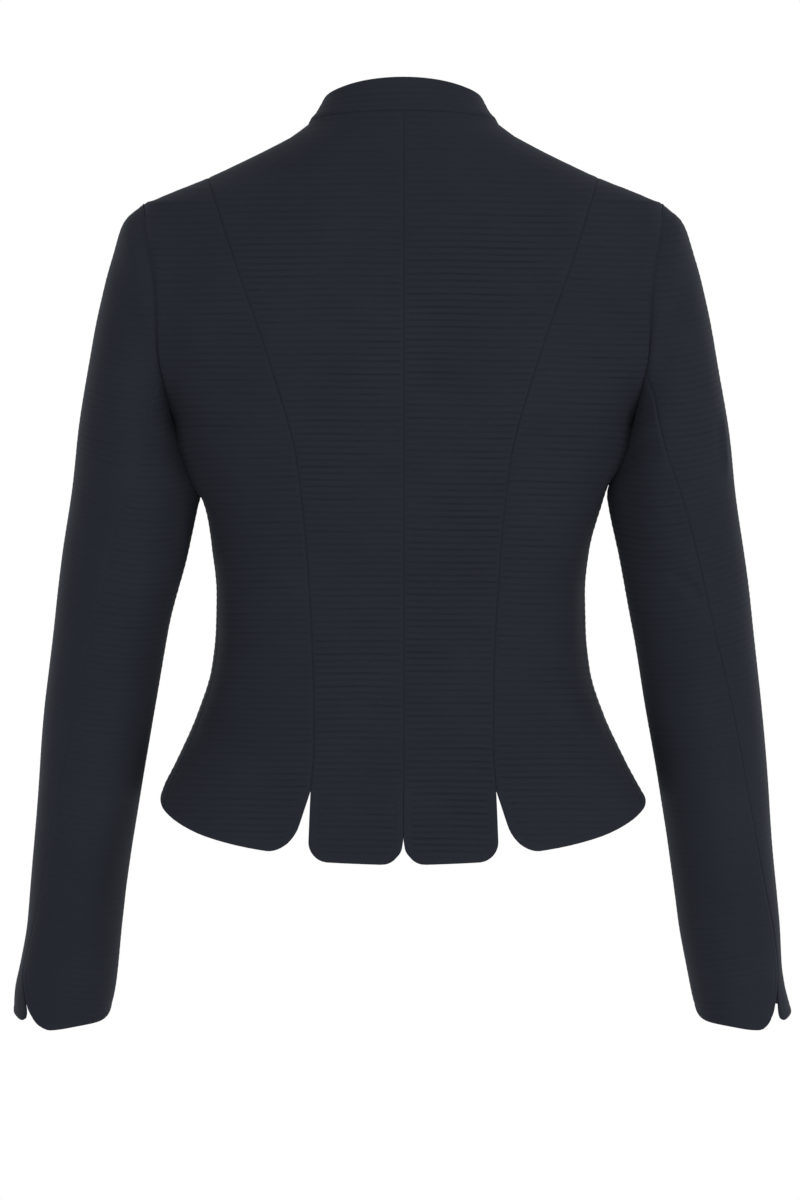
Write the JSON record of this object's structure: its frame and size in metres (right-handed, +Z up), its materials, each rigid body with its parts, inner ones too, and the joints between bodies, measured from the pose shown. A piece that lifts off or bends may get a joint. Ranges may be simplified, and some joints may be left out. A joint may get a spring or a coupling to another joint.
{
  "type": "dirndl jacket held up by its wearer",
  "caption": "Fitted ribbed jacket in its worn, hollow form: stand-up collar, princess seams, two-piece sleeves with cuff slits, buttoned front, and a back hem cut into flaps.",
  "frame": {"origin": "on the centre plane, level with the neck points where shoulder seam and collar meet, in the plane of the shoulder seams", "axes": "+Z up along the centre line, +Y towards the back of the jacket, +X towards the wearer's left"},
  "size_m": [0.5878, 0.2681, 0.7173],
  "materials": {
    "cloth": "matte ribbed knit",
    "buttons": "satin"
  },
  "bodies": {
    "root": {"back_centre_left": "cloth", "back_centre_right": "cloth", "back_side_left": "cloth", "back_side_right": "cloth", "front_side_left": "cloth", "front_side_right": "cloth", "front_centre_left": "cloth", "front_centre_right": "cloth", "collar": "cloth", "top_sleeve_left": "cloth", "top_sleeve_right": "cloth", "under_sleeve_left": "cloth", "under_sleeve_right": "cloth", "button_1": "buttons", "button_2": "buttons", "button_3": "buttons", "button_4": "buttons", "button_5": "buttons", "button_6": "buttons", "button_7": "buttons"}
  },
  "joints": []
}
